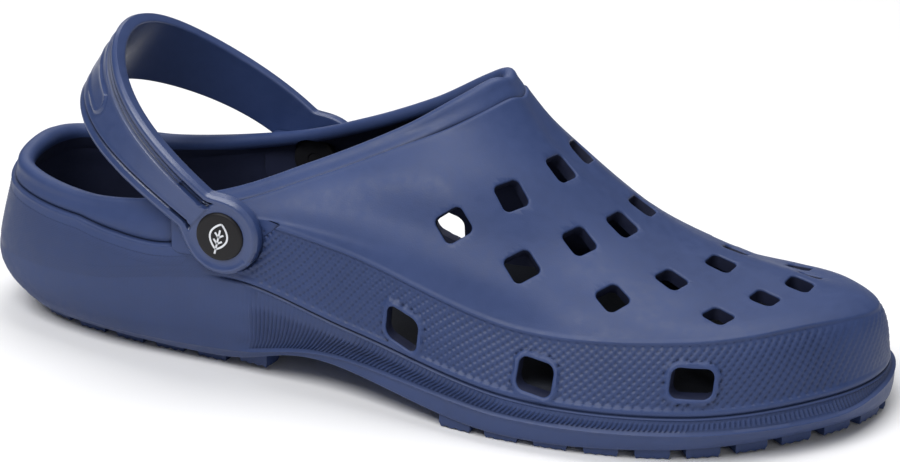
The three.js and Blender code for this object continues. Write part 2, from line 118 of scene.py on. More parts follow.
# Fineness of the meshes
COLUMNS = 960  # once round the clog, below the shoulder line
INNER_COLUMNS = COLUMNS // 4
KNURL_ROWS = 28  # a whole number of fours, so that every stud has the same shape


# ---- The part's frame ----
cap_low, cap_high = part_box("rivet_head_lateral")
far_low, far_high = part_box("rivet_head_medial")
SHIFT = np.array([
    (cap_low[0] + cap_high[0]) * 500 - PIVOT_X,
    (cap_low[1] + far_high[1]) * 500 - STRAP_MIDDLE_Y,
    (cap_low[2] + cap_high[2]) * 500 - PIVOT_Z,
])


def place(points):
    return (np.asarray(points, float) + SHIFT) / 1000


def smooth(low, high, value):
    t = np.clip((value - low) / (high - low), 0, 1)
    return t * t * (3 - 2 * t)


def bump(offset, half_width):
    return np.exp(-(offset / half_width) ** 2)


def band(value, low, high, soft):
    """1 between two limits and 0 outside them, with soft ends."""
    return (smooth(low - soft / 2, low + soft / 2, value)
            * (1 - smooth(high - soft / 2, high + soft / 2, value)))


# ---- Meshes ----
SHARP_EDGE = math.radians(48)


def shade(mesh, sharp):
    """Smooth faces, with a sharp edge wherever two of them meet at more than an angle."""
    mesh.polygons.foreach_set("use_smooth", [True] * len(mesh.polygons))
    mesh.set_sharp_from_angle(angle=sharp)
    mesh.update()


def mesh_object(name, points, faces, sharp=SHARP_EDGE):
    mesh = bpy.data.meshes.new(name)
    mesh.from_pydata(place(points).tolist(), [], faces)
    mesh.validate()
    piece = bpy.data.objects.new(name, mesh)
    bpy.context.scene.collection.objects.link(piece)
    shade(mesh, sharp)
    return piece


class Net:
    """Points and faces that are added ring by ring."""

    def __init__(self):
        self.points = []
        self.faces = []
        self.count = 0
        self.inside = 0  # how many of the first faces belong to the inside of the clog

    def ring(self, points):
        first = self.count
        self.points.append(np.asarray(points, float))
        self.count += len(points)
        return np.arange(first, self.count)

    def strip(self, below, above):
        """Faces between two closed rings; the first may have a whole number of times the second's points."""
        ratio = len(below) // len(above)
        if ratio == 1:
            low, high = below, above
            quads = np.stack([low, np.roll(low, -1), np.roll(high, -1), high], 1)
            self.faces.extend(quads.tolist())
            return
        count = len(above)
        for step in range(count):
            low = [int(below[(step * ratio + k) % len(below)]) for k in range(ratio + 1)]
            self.faces.append(low + [int(above[(step + 1) % count]), int(above[step])])

    def skin(self, rings):
        for below, above in zip(rings, rings[1:]):
            self.strip(below, above)

    def grow(self, last, rows):
        """Adds rings one after another, joined to the last one, and returns the newest."""
        for row in rows:
            ring = self.ring(row)
            self.strip(last, ring)
            last = ring
        return last

    def close(self, ring, up):
        """Closes a ring by faces from side to side, looking up or down."""
        count = len(ring)
        for column in range(count // 2):
            corners = [column, column + 1, count - column - 1, (count - column) % count]
            face = [int(ring[c]) for c in dict.fromkeys(corners)]
            if len(face) > 2:
                self.faces.append(face if up else face[::-1])

    def build(self, name, **kwargs):
        return mesh_object(name, np.concatenate(self.points), self.faces, **kwargs)


def combine(target, tool, operation):
    """Joins or cuts the target by the tool, which is used up."""
    modifier = target.modifiers.new("combine", "BOOLEAN")
    modifier.operation = operation
    modifier.object = tool
    modifier.solver = "MANIFOLD"
    depsgraph = bpy.context.evaluated_depsgraph_get()
    result = bpy.data.meshes.new_from_object(target.evaluated_get(depsgraph))
    target.modifiers.clear()
    old = target.data
    target.data = result
    bpy.data.meshes.remove(old)
    bpy.data.objects.remove(tool, do_unlink=True)


def cut(target, name, net, inside=False):
    combine(target, merged(name, [net], inside), "DIFFERENCE")


def join(target, name, net, inside=False):
    combine(target, merged(name, [net], inside), "UNION")


def running_length(line):
    """Distance of each of a line's points from its first one, along the line."""
    return np.concatenate([[0], np.cumsum(np.linalg.norm(np.diff(line, axis=0), axis=1))])


def along_line(distance, run, line):
    return np.stack([np.interp(distance, run, line[:, axis]) for axis in range(line.shape[1])], -1)


def merged(name, nets, inside=False):
    """One object from several closed nets that stay apart; inside puts all of it inside the clog."""
    points, faces, flags, first = [], [], [], 0
    for net in nets:
        hidden = len(net.faces) if inside else net.inside
        flags += [1] * hidden + [0] * (len(net.faces) - hidden)
        own = np.concatenate(net.points)
        points.append(own)
        faces.extend([[corner + first for corner in face] for face in net.faces])
        first += len(own)
    piece = mesh_object(name, np.concatenate(points), faces)
    mark_inside(piece, flags)
    return piece


def mark_inside(piece, flags):
    """Gives each face its material index: 0 for the outside of the clog and 1 for the inside, which is
    dressed in a darker copy of the foam as painted shade.
    """
    for name in ("outside", "inside"):
        piece.data.materials.append(bpy.data.materials.new(name))
    piece.data.polygons.foreach_set("material_index", flags)


# ---- The outside surface ----
def centre_line(x):
    t = np.clip(np.asarray(x, float) / LENGTH, 0, 1.05)
    return TOE_SWING * t ** 4 - WAIST_SWING * np.sin(np.pi * np.minimum(t / 0.8, 1)) ** 2


def level_ring(lean, drop, stations):
    lateral, medial = [], []
    for (x, half_width, z), leaning, dropping in zip(stations, LEAN_AT_STATION, DROP_AT_STATION):
        middle = float(centre_line(x)) + lean * leaning
        lateral.append((x, middle - half_width, z))
        medial.append((x, middle + half_width, z - drop * dropping))
    return lateral + medial[1:-1][::-1]


CONTROL = np.array([level_ring(*level) for level in LEVELS], float)


def spline_weights(t):
    return np.stack([
        -0.5 * t + t ** 2 - 0.5 * t ** 3,
        1 - 2.5 * t ** 2 + 1.5 * t ** 3,
        0.5 * t + 2 * t ** 2 - 1.5 * t ** 3,
        0.5 * t ** 3 - 0.5 * t ** 2,
    ], -1)


def level_points(around):
    turn = (np.asarray(around) % 1) * CONTROL.shape[1]
    first = np.floor(turn).astype(int)
    picks = (first[:, None] + np.array([-1, 0, 1, 2])) % CONTROL.shape[1]
    return np.einsum("nk,lnkc->lnc", spline_weights(turn - first), CONTROL[:, picks])


def outside(around, up):
    """Points of the outside: around is one row of turns, and up a table of heights from 0 to 1."""
    curves = level_points(around)
    curves = np.concatenate([2 * curves[:1] - curves[1:2], curves, 2 * curves[-1:] - curves[-2:-1]])
    # Slopes at the levels, held back where two levels lie close together, so that no profile folds
    chords = np.linalg.norm(np.diff(curves, axis=0), axis=2, keepdims=True)
    slopes = (curves[2:] - curves[:-2]) / 2
    most = STEEPEST * np.minimum(chords[1:], chords[:-1])
    slopes = slopes * np.minimum(1, most / np.maximum(np.linalg.norm(slopes, axis=2, keepdims=True), 1e-9))
    levels = curves[1:-1]
    rise = np.clip(up, 0, 1) * TOP_LEVEL
    first = np.minimum(np.floor(rise).astype(int), TOP_LEVEL - 1)
    t = (rise - first)[..., None]
    columns = np.arange(len(around))[None, :]
    low, high = levels[first, columns], levels[first + 1, columns]
    low_slope, high_slope = slopes[first, columns], slopes[first + 1, columns]
    return ((2 * t ** 3 - 3 * t ** 2 + 1) * low + (t ** 3 - 2 * t ** 2 + t) * low_slope
            + (3 * t ** 2 - 2 * t ** 3) * high + (t ** 3 - t ** 2) * high_slope)


def unit(vectors):
    return vectors / np.maximum(np.linalg.norm(vectors, axis=-1, keepdims=True), 1e-9)


def rotated(flat, turn):
    """Points of a plane, turned about its origin."""
    cos, sin = math.cos(turn), math.sin(turn)
    return np.stack([flat[:, 0] * cos - flat[:, 1] * sin, flat[:, 0] * sin + flat[:, 1] * cos], 1)


def directions(around, up, step=0.004, rise_step=0.012):
    """Outward normals and upward tangents."""
    along = outside(around + step, up) - outside(around - step, up)
    rise = outside(around, np.minimum(up + rise_step, 1)) - outside(around, np.maximum(up - rise_step, 0))
    normals = unit(np.cross(along, rise))
    return normals, unit(rise)


def even_turns(count):
    """Turns that are evenly spaced along each side of the knurled band, from heel to toe."""
    middle_height = (GROOVE_LEVEL + SHOULDER_LEVEL) / 2 / TOP_LEVEL
    turns = []
    for start in (0, 0.5):
        fine = np.linspace(start, start + 0.5, 2001)
        line = outside(fine, np.full((1, len(fine)), middle_height))[0]
        run = running_length(line)
        wanted = np.linspace(0, run[-1], count // 2 + 1)[:-1]
        turns.append(np.interp(wanted, run, fine))
    return np.concatenate(turns)


TURNS = even_turns(COLUMNS)
PROFILE_STEPS = 280
profile_up = np.linspace(0, 1, PROFILE_STEPS + 1)
profile = outside(TURNS, np.repeat(profile_up[:, None], COLUMNS, 1))
PROFILE_RUN = np.concatenate([
    np.zeros((1, COLUMNS)), np.cumsum(np.linalg.norm(np.diff(profile, axis=0), axis=2), axis=0),
])
STEPS_PER_LEVEL = PROFILE_STEPS // TOP_LEVEL


def heights_at(run, every=1):
    """The height parameter at distances up the profiles of every column, or of one column in so many."""
    return np.stack([np.interp(run[:, c], PROFILE_RUN[:, every * c], profile_up)
                     for c in range(run.shape[1])], 1)


x_groove = profile[GROOVE_LEVEL * STEPS_PER_LEVEL, :, 0]
x_rim = profile[-1, :, 0]
TOTAL = PROFILE_RUN[-1]
GROOVE = PROFILE_RUN[GROOVE_LEVEL * STEPS_PER_LEVEL]

# Distance of the collar's step below the rim: it dips behind the strap.
STEP_BELOW_RIM = np.interp(
    x_rim, [0, 25, 45, 58, 70, 78, 84, 95, 172], [7.5, 8.5, 9.5, 13, 17, 19, 12, 8.5, 8.5])
STEP = TOTAL - STEP_BELOW_RIM
SHOULDER = np.minimum(PROFILE_RUN[SHOULDER_LEVEL * STEPS_PER_LEVEL], STEP - 6)
LOWER_LINE = 5 + 2.6 * smooth(120, 190, x_groove)
IN_FRONT = smooth(97, 110, x_groove)
GROOVE_DEPTH = smooth(86, 104, x_groove)
TOE_FADE = 1 - 0.6 * smooth(282, 292, x_groove)
RIM_WALL = 4.6 + 1.6 * (1 - smooth(40, 100, x_rim))
EDGE_ROUND = 1.2
LEDGE = 2.2
LOWER_RIDGE, LOWER_RIDGE_MORE, LOWER_RIDGE_HALF_WIDTH = 0.25, 0.42, 0.55
RIB_STRIP_DEPTH, RIB_HEIGHT = 0.7, 0.26
GROOVE_CUT, GROOVE_HALF_WIDTH = 0.95, 0.42
FIELD_DEPTH, KNURL_DEPTH = 0.55, 0.55
SHOULDER_RIDGE, SHOULDER_HALF_WIDTH = 0.42, 0.6
COLLAR_DEPTH, COLLAR_GROOVE, COLLAR_LIP = 0.85, 0.65, 0.2
VENT_LIP, VENT_LIP_INNER, VENT_LIP_OUTER = 0.5, 0.95, 1.5
GRAIN_HEIGHT, GRAIN_SPACING = 0.15, 0.45
SEAM_DEPTH, SEAM_BACK, SEAM_HALF_WIDTH = 1.1, 0.9, 0.75


def between(low, high, steps):
    """Distances strictly between two lines, as rows."""
    share = (np.arange(steps) + 1)[:, None] / (steps + 1)
    return low + (high - low) * share


def from_line(line, offsets):
    return line[None, :] + np.array(offsets)[:, None]


ZERO = np.zeros(COLUMNS)
side_rows = np.concatenate([
    from_line(ZERO, [0, 0.2, 0.5, 1.0, 1.7]),
    between(ZERO + 1.7, LOWER_LINE - 0.8, 2),
    from_line(LOWER_LINE, [-0.8, -0.35, 0, 0.35, 0.8]),
    between(LOWER_LINE + 0.8, GROOVE - 1.2, 5),
    from_line(GROOVE, [-1.2, -0.8, -0.4, -0.1, 0.2, 0.5, 0.9, 1.4]),
    from_line(GROOVE, [LEDGE - 0.3]),
])
knurl_low, knurl_high = GROOVE + LEDGE + 0.2, SHOULDER - 0.6
knurl_rows = knurl_low + (knurl_high - knurl_low) * np.linspace(0, 1, KNURL_ROWS + 1)[:, None]
lip_rows = from_line(SHOULDER, [-0.2, 0.2, 0.7, 1.3, 2.1])
lower_run = np.concatenate([side_rows, knurl_rows, lip_rows])
FIRST_KNURL_ROW = len(side_rows)


def relief(run, knurl=None):
    """How far moulded detail stands out of the smooth surface, for a table of distances up the profile."""
    columns = np.arange(0, COLUMNS, COLUMNS // run.shape[1])
    groove, shoulder, step, total = GROOVE[columns], SHOULDER[columns], STEP[columns], TOTAL[columns]
    lower, front, toe = LOWER_LINE[columns], IN_FRONT[columns], TOE_FADE[columns]
    ribs = np.where(columns % 2 == 0, 1, -1)
    out = -(EDGE_ROUND - np.sqrt(np.maximum(EDGE_ROUND ** 2 - np.clip(EDGE_ROUND - run, 0, None) ** 2, 0)))
    out = out + (LOWER_RIDGE + LOWER_RIDGE_MORE * front) * bump(run - lower, LOWER_RIDGE_HALF_WIDTH)
    strip = band(run, lower + 0.55, groove - 0.9, 0.6)
    out = out - RIB_STRIP_DEPTH * strip * front
    out = out + RIB_HEIGHT * ribs * band(run, lower + 0.9, groove - 1.3, 0.5) * front
    out = out - GROOVE_CUT * bump(run - groove, GROOVE_HALF_WIDTH) * GROOVE_DEPTH[columns]
    field = band(run, groove + LEDGE, shoulder - 0.3, 0.5)
    out = out - FIELD_DEPTH * field * front * toe
    if knurl is not None:
        out = out + knurl * band(run, groove + LEDGE + 0.5, shoulder - 1, 1.5) * front * toe
    out = out + SHOULDER_RIDGE * bump(run - shoulder - 0.45, SHOULDER_HALF_WIDTH) * front * toe
    collar = 1 - 0.6 * smooth(146, 166, x_rim[columns])
    above = smooth(-0.05, 0.35, run - step) * (1 - smooth(4.6, 1.6, total - run))
    out = out - COLLAR_DEPTH * collar * above - COLLAR_GROOVE * collar * bump(run - step - 0.3, 0.45)
    return out + COLLAR_LIP * collar * bump(run - step + 0.6, 0.6)


def vent_distance(points):
    """Distance outside the nearest side vent's outline, seen square on."""
    nearest = np.full(points.shape[:-1], 99.0)
    own_side = np.sign(points[..., 1] - centre_line(points[..., 0]))
    for side, (x, z, width, height, slope) in [(side, vent) for side in VENTS for vent in VENTS[side]]:
        along = points[..., 0] - x
        dx = np.abs(along) - width / 2 + VENT_RADIUS
        dz = np.abs(points[..., 2] - z - slope * along) - height / 2 + VENT_RADIUS
        beyond_corner = np.hypot(np.maximum(dx, 0), np.maximum(dz, 0))
        reach = beyond_corner + np.minimum(np.maximum(dx, dz), 0) - VENT_RADIUS
        nearest = np.where(own_side == side, np.minimum(nearest, reach), nearest)
    return nearest


def seam(base, run, step, total):
    """Depth of the moulding seam at the back of the strap's pad."""
    return SEAM_DEPTH * (bump(base[..., 0] - PAD_BACK + SEAM_BACK, SEAM_HALF_WIDTH)
                         * band(run, step - 0.5, total - 2.5, 0.8))


def lower_surface():
    """Rows from the edge of the sole to just over the shoulder."""
    up = heights_at(lower_run)
    base = outside(TURNS, up)
    normals, _ = directions(TURNS, up)
    row = np.arange(len(lower_run))[:, None] - FIRST_KNURL_ROW
    column = np.arange(COLUMNS)[None, :]
    studs = KNURL_DEPTH * np.cos(np.pi * row / 2) * np.cos(np.pi * column / 2)
    out = relief(lower_run, studs)
    vent = vent_distance(base)
    plain = np.maximum(out, -0.05)
    framed = 1 - smooth(VENT_LIP_INNER, VENT_LIP_OUTER, vent)
    in_band = (lower_run > GROOVE - 0.2) & (lower_run < SHOULDER)
    out = np.where(in_band, out + (plain + VENT_LIP - out) * framed, out)
    # A fine grain of small studs on the heel's sides
    spacing = np.gradient(lower_run, axis=0)
    grain = GRAIN_HEIGHT * np.where((row + column) % 2 == 0, 1, -1) * np.clip(spacing / GRAIN_SPACING, 0, 1)
    out = out + grain * (1 - IN_FRONT) * band(lower_run, LOWER_LINE + 3, STEP - 3, 2)
    return base + normals * (out - seam(base, lower_run, STEP, TOTAL))[..., None]


def upper_surface():
    """Rows from the shoulder over the vamp and the rolled rim, in every second column."""
    columns = np.arange(0, COLUMNS, 2)
    turns = TURNS[columns]
    total, step, shoulder = TOTAL[columns], STEP[columns], SHOULDER[columns]
    roll = RIM_WALL[columns] / 2
    run = np.concatenate([
        between(shoulder + 2.1, step - 1.3, 38),
        from_line(step, [-1.3, -0.7, -0.25, 0.05, 0.35, 0.8]),
        between(step + 0.8, total - roll, 4),
        (total - roll)[None, :],
    ])
    up = heights_at(run, 2)
    base = outside(turns, up)
    normals, rises = directions(turns, up)
    out = relief(run)
    rows = base + normals * (out - seam(base, run, step, total))[..., None]
    # The rolled rim: half a circle over to the inside
    last, normal, rise = base[-1], normals[-1], rises[-1]
    centre = last - normal * roll[:, None]
    over = [centre + roll[:, None] * (normal * math.cos(t) + rise * math.sin(t))
            for t in np.linspace(0, math.pi, 9)[1:]]
    return np.concatenate([rows, np.array(over)])


FOOTBED = np.array([[i * LENGTH / 5, height] for i, height in enumerate(FOOTBED_HEIGHTS)], float)


def footbed_height(x):
    """The same spline through even steps as the CAD part's."""
    turn = np.clip(np.asarray(x, float) / LENGTH, 0, 1) * 5
    first = np.minimum(np.floor(turn).astype(int), 4)
    heights = FOOTBED[:, 1]
    picks = np.clip(first[..., None] + np.array([-1, 0, 1, 2]), 0, 5)
    return np.einsum("...k,...k->...", spline_weights(turn - first), heights[picks])


def inner_surface():
    """Rows down the inside of the wall, and the footbed's outline."""
    columns = np.arange(0, COLUMNS, 4)
    turns = TURNS[columns]
    total, groove = TOTAL[columns], GROOVE[columns]
    roll = RIM_WALL[columns] / 2
    share = np.linspace(0, 1, 25)[1:, None]
    run = (total - roll) + (groove - (total - roll)) * share
    up = heights_at(run, 4)
    base = outside(turns, up)
    normals, _ = directions(turns, up, 0.01, 0.05)
    depth = WALL + (RIM_WALL[columns] - WALL) * (1 - smooth(0, 14, (total - roll) - run))
    return list(base - normals * depth[..., None]) + [footbed_outline(turns, FOOTBED_INSET, 0)]


def footbed_outline(turns, inset, lift):
    up = np.full((1, len(turns)), GROOVE_LEVEL / TOP_LEVEL)
    normals, _ = directions(turns, up)
    flat = normals[0] * np.array([1, 1, 0])
    points = outside(turns, up)[0] - normals[0] * WALL - unit(flat) * inset
    points[:, 2] = footbed_height(points[:, 0]) + lift
    return points


def spine(points, first=34, last=262):
    x = np.clip(points[:, 0], first, last)
    return np.stack([x, centre_line(x), np.zeros(len(x))], 1)


EDGE_X = [station[0] for station in LEVELS[0][2]]
EDGE_Z = [station[2] for station in LEVELS[0][2]]


UNDERSIDE_SHARES = (0.94, 0.8, 0.6, 0.4, 0.22, 0.08)  # of the way from the edge to the middle line


def shell_skin():
    net = Net()
    lower = lower_surface()
    # The underside: rings that shrink to the middle line, added from the inside out
    edge = lower[0]
    coarse = edge[::4]
    middle = spine(coarse)
    middle[:, 2] = np.interp(middle[:, 0], EDGE_X, EDGE_Z)
    rings = [net.ring(coarse + (middle - coarse) * share) for share in UNDERSIDE_SHARES]
    net.close(rings[0], up=False)
    net.skin(rings)
    outermost = net.ring(lower[0])
    fine = [list(map(int, outermost[(4 * k) % COLUMNS: (4 * k) % COLUMNS + 4])) for k in range(INNER_COLUMNS)]
    for k in range(INNER_COLUMNS):
        beyond = int(outermost[(4 * k + 4) % COLUMNS])
        near, far = int(rings[-1][k]), int(rings[-1][(k + 1) % INNER_COLUMNS])
        net.faces.append([near, far, beyond] + fine[k][::-1])
    last = net.grow(outermost, list(lower[1:]) + list(upper_surface()))
    outer_faces = len(net.faces)
    last = net.grow(last, inner_surface())
    net.close(last, up=True)
    moulding = net.build("clog_moulding")
    mark_inside(moulding, [0] * outer_faces + [1] * (len(net.faces) - outer_faces))
    return moulding


# ---- Solids that are joined to the moulding or cut from it ----
def rounded_rectangle(width, height, radius, corner_steps=7, side_steps=3):
    """Points anticlockwise, starting at the middle of the right-hand side's top."""
    points = []
    centres = [(width / 2 - radius, height / 2 - radius, 0), (radius - width / 2, height / 2 - radius, 1),
               (radius - width / 2, radius - height / 2, 2), (width / 2 - radius, radius - height / 2, 3)]
    for x, y, quarter in centres:
        for k in range(corner_steps + 1):
            angle = math.pi / 2 * (quarter + k / corner_steps)
            points.append((x + radius * math.cos(angle), y + radius * math.sin(angle)))
    full = []
    for k, here in enumerate(points):
        there = points[(k + 1) % len(points)]
        full.append(here)
        if math.dist(here, there) > radius:
            for step in range(1, side_steps + 1):
                share = step / (side_steps + 1)
                full.append(tuple(a + (b - a) * share for a, b in zip(here, there)))
    return np.array(full)


def fan(net, ring, centre, up):
    tip = int(net.ring([centre])[0])
    count = len(ring)
    for k in range(count):
        face = [int(ring[k]), int(ring[(k + 1) % count]), tip]
        net.faces.append(face if up else face[::-1])


def pin_net(radius, from_y, to_y, segments=72, rounding=0, lowest=None):
    """A cylinder along Y about the strap's axis, rounded at its far end. lowest gives two rows, distances
    in front of the axis and the heights over it below which the cylinder is cut off."""
    sign = 1 if to_y > from_y else -1
    angles = np.arange(segments) * 2 * math.pi / segments * -sign
    circle = np.stack([np.cos(angles), np.zeros(segments), np.sin(angles)], 1)
    base = np.array([PIVOT_X, 0, PIVOT_Z])
    stops = [(radius, from_y)]
    if rounding:
        stops += [(radius - rounding * (1 - math.cos(t)), to_y - sign * rounding * (1 - math.sin(t)))
                  for t in np.linspace(0, math.pi / 2, 5)]
    else:
        stops += [(radius, to_y)]
    net = Net()
    rings = [net.ring(base + circle * r + np.array([0, y, 0])) for r, y in stops]
    middle = base
    if lowest is not None:
        for points in net.points:
            points[:, 2] = np.maximum(points[:, 2], PIVOT_Z + np.interp(points[:, 0] - PIVOT_X, *lowest))
        middle = base + np.array([0, 0, radius / 2])
    net.skin(rings)
    fan(net, rings[0], middle + np.array([0, from_y, 0]), up=False)
    fan(net, rings[-1], middle + np.array([0, to_y, 0]), up=True)
    return net


# The pad's rows from its root to its face: inset of the outline, and depth under the face
PAD_PROFILE = [(0, BOSS_DEPTH), (0, 3.2), (0, 1.1), (0.12, 0.55), (0.45, 0.15), (1.1, 0)]
PAD_RADIUS = 3


def pad_net(side):
    """The flat pad that one end of the strap lies on."""
    face = STRAP_MIDDLE_Y + side * PAD_HALF_SPAN
    centre = np.array([(PAD_FRONT + PAD_BACK) / 2, 0, (PAD_HIGH + PAD_LOW) / 2])
    net = Net()
    rings = []
    for inset, depth in PAD_PROFILE:
        outline = rounded_rectangle(PAD_FRONT - PAD_BACK - 2 * inset, PAD_HIGH - PAD_LOW - 2 * inset,
                                    PAD_RADIUS - inset * 0.8, side_steps=1)
        points = np.stack([outline[:, 0], np.zeros(len(outline)), outline[:, 1]], 1)
        if side > 0:
            points = points[::-1]
        rings.append(net.ring(points + centre + np.array([0, face - side * depth, 0])))
    fan(net, rings[0], centre + np.array([0, face - side * BOSS_DEPTH, 0]), up=False)
    net.strip(rings[0], rings[1])
    net.inside = len(net.faces)
    net.skin(rings[1:])
    fan(net, rings[-1], centre + np.array([0, face, 0]), up=True)
    return net


TOOTH_PITCH, TOOTH_DEPTH = 3.2, 0.5
LUG_CHAMFER, LUG_TAPER = 1.6, 0.9


def lug_net(x, y, bottom, turn, length, width):
    """A tread lug: tapered, with small teeth across its underside."""
    net = Net()
    top = bottom + LUG_HEIGHT + LUG_EMBED
    steps = 2 * max(3, round(max(length, width) / TOOTH_PITCH))
    lengthwise = length >= width
    u = np.linspace(-0.5, 0.5, steps + 1)
    tooth = TOOTH_DEPTH * (np.arange(steps + 1) % 2)
    # Rows across the short side, from one long edge to the other
    long_size, short_size = (length, width) if lengthwise else (width, length)
    rows = []
    shoulder = bottom + LUG_CHAMFER
    for share, height, squeeze in [(-0.5, top, 1), (-0.5, shoulder, 1), (-0.44, bottom, LUG_TAPER),
                                   (0.44, bottom, LUG_TAPER), (0.5, shoulder, 1), (0.5, top, 1)]:
        lift = tooth if height == bottom else np.zeros(steps + 1)
        along = u * long_size * squeeze
        across = np.full(steps + 1, share * short_size)
        flat = np.stack((along, across) if lengthwise else (-across, along), 1)
        rows.append(net.ring(np.column_stack([rotated(flat, turn) + [x, y], height + lift])))
    for low, high in zip(rows, rows[1:] + rows[:1]):
        for k in range(steps):
            net.faces.append([int(low[k]), int(low[k + 1]), int(high[k + 1]), int(high[k])][::-1])
    net.faces.append([int(row[0]) for row in rows][::-1])
    net.faces.append([int(row[-1]) for row in rows])
    return net


def edge_lug_nets():
    fine = np.linspace(0, 1, 4001)
    line = outside(fine, np.zeros((1, len(fine))))[0]
    run = running_length(line)
    count = int(run[-1] // LUG_PITCH)
    nets = []
    for place_number in range(count):
        distance = run[-1] * place_number / count
        point = along_line(distance, run, line)
        tangent = unit(along_line((distance + 0.2) % run[-1], run, line) - point)
        inward = unit(np.array([-tangent[1], tangent[0], 0]))
        spot = point + inward * (LUG_INSET_AT_HEEL if point[0] < ARCH_X else LUG_INSET_AT_BALL)
        if point[2] < ARCH_Z:
            bottom = max(point[2] - LUG_HEIGHT, TREAD_BOTTOM)
            nets.append(lug_net(spot[0], spot[1], bottom, math.atan2(tangent[1], tangent[0]),
                                LUG_LENGTH, LUG_WIDTH))
    return nets


def cutter_net(origin, normal, right, width, height, radius, turn, surface, rounding, depth, slope=0):
    """A rounded-rectangle cutter whose mouth flares, so that it leaves a rounded edge on the surface."""
    normal, right = unit(np.asarray(normal, float)), unit(np.asarray(right, float))
    ahead = np.cross(normal, right)
    net = Net()
    stops = [(0, -depth), (0, -rounding)]
    for t in np.linspace(0, 1, 6)[1:]:
        angle = t * math.pi / 2
        stops.append((rounding * (1 - math.cos(angle)), -rounding * (1 - math.sin(angle))))
    stops.append((rounding + 0.25, 0.12))
    rings = []
    for spread, level in stops:
        outline = rounded_rectangle(width + 2 * spread, height + 2 * spread, radius + spread)
        outline[:, 1] += slope * outline[:, 0]
        points = []
        for a, b in rotated(outline, turn):
            start = origin + right * a + ahead * b
            skin = surface_height(surface, start, normal)
            points.append(start + normal * ((0 if level == -depth else skin) + level))
        rings.append(net.ring(points))
    top = np.concatenate(net.points)[rings[-1]]
    heights = (top - origin) @ normal
    lid = top + normal * (heights.max() + 3 - heights)[:, None]
    rings.append(net.ring(lid))
    net.strip(rings[0], rings[1])
    net.inside = len(net.faces)
    net.skin(rings[1:])
    fan(net, rings[0], origin - normal * depth, up=False)
    fan(net, rings[-1], origin + normal * (heights.max() + 3), up=True)
    return net


PROBE_HEIGHT, PROBE_REACH = 14, 0.05  # the first in millimetres, the second in metres


def surface_height(surface, start, normal):
    """Height of the surface over a point, along the normal."""
    above = Vector(place(start + normal * PROBE_HEIGHT))
    hit, _, _, distance = surface.ray_cast(above, Vector(-normal), PROBE_REACH)
    return PROBE_HEIGHT - distance * 1000 if hit is not None else 0.0


SEARCH_ROUNDS, SEARCH_GRID = 7, 25


def vamp_point(x, y):
    """The place on the upper that lies over x, y, found by ever finer grids about the nearest point."""
    reach, turn, rise = 0.25, 0.5, 0.7
    for _ in range(SEARCH_ROUNDS):
        around = turn + reach * np.linspace(-1, 1, SEARCH_GRID)
        up = np.clip(rise + reach * np.linspace(-1, 1, SEARCH_GRID), 0, 1)
        grid = outside(around, np.repeat(up[:, None], SEARCH_GRID, 1))
        miss = np.hypot(grid[..., 0] - x, grid[..., 1] - y)
        row, column = np.unravel_index(np.argmin(miss), miss.shape)
        turn, rise = around[column], up[row]
        reach = reach / 4
    turns, height = np.array([turn]), np.array([[rise]])
    normals, _ = directions(turns, height)
    return outside(turns, height)[0, 0], normals[0, 0]


MOUTH_ALLOWANCE = 0.5  # what the rounded mouth adds to an opening's size
HOLE_ROUNDING, HOLE_CUT = 0.6, 9.5
VENT_ROUNDING, VENT_CUT = 0.55, 14
VENT_LEVEL = 2.45


def opening_cutters(moulding):
    surface = BVHTree.FromObject(moulding, bpy.context.evaluated_depsgraph_get())
    nets = []
    for size, centres in HOLE_ROWS:
        for x, y in centres:
            point, normal = vamp_point(x, y)
            corner = min(HOLE_TURN + HOLE_TURN_PER_Y * y, HOLE_TURN_MOST)
            nets.append(cutter_net(point, normal, np.cross([0, 1, 0], normal),
                                   size - MOUTH_ALLOWANCE, size - MOUTH_ALLOWANCE,
                                   HOLE_RADIUS, math.radians(45 + corner), surface, HOLE_ROUNDING, HOLE_CUT))
    for side in (-1, 1):
        turns = TURNS[: COLUMNS // 2] if side < 0 else TURNS[COLUMNS // 2:]
        ring = outside(turns, np.full((1, len(turns)), VENT_LEVEL / TOP_LEVEL))[0]
        for x, z, width, height, slope in VENTS[side]:
            y = np.interp(x, ring[:, 0][::-side], ring[:, 1][::-side])
            nets.append(cutter_net(np.array([x, y, z]), [0, side, 0], [-side, 0, 0],
                                   width - MOUTH_ALLOWANCE, height - MOUTH_ALLOWANCE,
                                   VENT_RADIUS, 0, surface, VENT_ROUNDING, VENT_CUT, -side * slope))
    return nets


def shell():
    moulding = shell_skin()
    combine(moulding, merged("openings", opening_cutters(moulding)), "DIFFERENCE")
    for side in (-1, 1):
        face = STRAP_MIDDLE_Y + side * PAD_HALF_SPAN
        boss = face - side * BOSS_DEPTH
        beyond = face + side * ROOM_REACH
        join(moulding, "pad", pad_net(side))
        join(moulding, "boss", pin_net(BOSS_RADIUS, face - side, boss, rounding=0.8), inside=True)
        cut(moulding, "arm_room", pin_net(SWING_RADIUS, beyond, face, 96, ROOM_ROUNDING, SWING_LOWEST))
        cut(moulding, "end_room", pin_net(LOBE_RADIUS + 2 * GAP, beyond, face, 96, ROOM_ROUNDING))
        cut(moulding, "disc_room", pin_net(BACK_RADIUS + 2 * GAP, boss - side * 12, boss), inside=True)
        cut(moulding, "bore", pin_net(POST_RADIUS + GAP, face + side, boss - side))
    tread = edge_lug_nets()
    tread += [lug_net(x, float(centre_line(x)) + y, TREAD_BOTTOM, 0, LUG_WIDTH, length)
              for x, y, length in TREAD_BARS]
    combine(moulding, merged("tread", tread), "UNION")
    shade(moulding.data, SHARP_EDGE)
    return moulding


